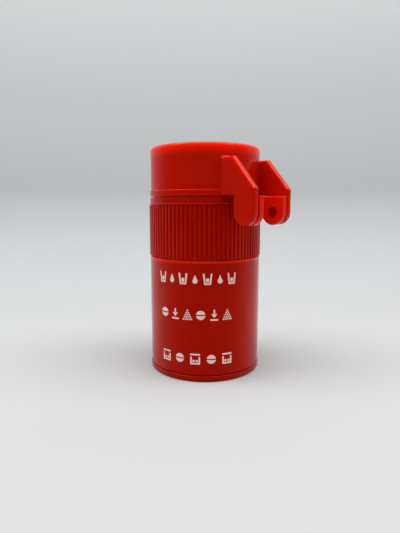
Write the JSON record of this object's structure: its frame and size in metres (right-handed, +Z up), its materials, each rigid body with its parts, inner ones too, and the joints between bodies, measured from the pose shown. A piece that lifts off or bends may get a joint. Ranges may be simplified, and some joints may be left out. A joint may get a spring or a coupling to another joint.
{
  "type": "pill crusher",
  "caption": "Round hand-held tablet crusher: ribbed screw collar with plunger over a drink cup, hinged splitter lid with blade above, and a storage space under a press-in base cap.",
  "frame": {"origin": "centre of the base cap's flat underside", "axes": "+Z up along the body's axis, +X from the body's axis towards the lid's hinge, +Y along the hinge's axis"},
  "size_m": [0.0625, 0.05, 0.0981],
  "materials": {
    "red_plastic": "glossy moulded red plastic",
    "red_plastic_dark": "glossy moulded red plastic, ribbed",
    "white_plastic": "natural white moulded plastic, semi-gloss",
    "slip_plastic": "low-friction plastic, satin",
    "seal_rubber": "soft silicone, matt",
    "pad_rubber": "soft grey grip, matt",
    "steel": "stainless steel, satin",
    "blade_steel": "stainless steel, ground"
  },
  "bodies": {
    "base": {"base_cap": "red_plastic", "base_cap_seal": "seal_rubber"},
    "cup": {"outer_sleeve": "red_plastic", "cup_body": "white_plastic", "anvil_plate": "steel"},
    "foot": {"crusher_foot": "white_plastic", "crush_plate": "steel", "thrust_disc": "slip_plastic"},
    "collar": {"grip_collar": "red_plastic_dark", "plunger_stem": "white_plastic", "cup_seal": "seal_rubber", "plunger_screws": "steel", "splitter_deck": "white_plastic", "cradle_pad_left": "pad_rubber", "cradle_pad_right": "pad_rubber"},
    "lid": {"lid": "red_plastic", "blade_holder": "white_plastic", "blade_clamp": "white_plastic", "blade": "blade_steel", "blade_rivets": "steel"}
  },
  "joints": [
    {"name": "cap_release", "type": "slide", "parent": "base", "child": "cup", "axis": [0, 0, 1], "range_m": [0, 0.01]},
    {"name": "crush_travel", "type": "slide", "parent": "cup", "child": "foot", "axis": [0, 0, 1], "range_m": [0, 0.0101]},
    {"name": "collar_turn", "type": "hinge", "parent": "foot", "child": "collar", "pos_m": [0, 0, 0.0629], "axis": [0, 0, 1], "range_deg": [0, 600]},
    {"name": "lid_hinge", "type": "hinge", "parent": "collar", "child": "lid", "pos_m": [0.0324, 0, 0.0705], "axis": [0, 1, 0], "range_deg": [0, 180]}
  ],
  "couplings": [
    {"joint": "crush_travel", "follows": "collar_turn", "m_per_rad": 0.00095493}
  ]
}
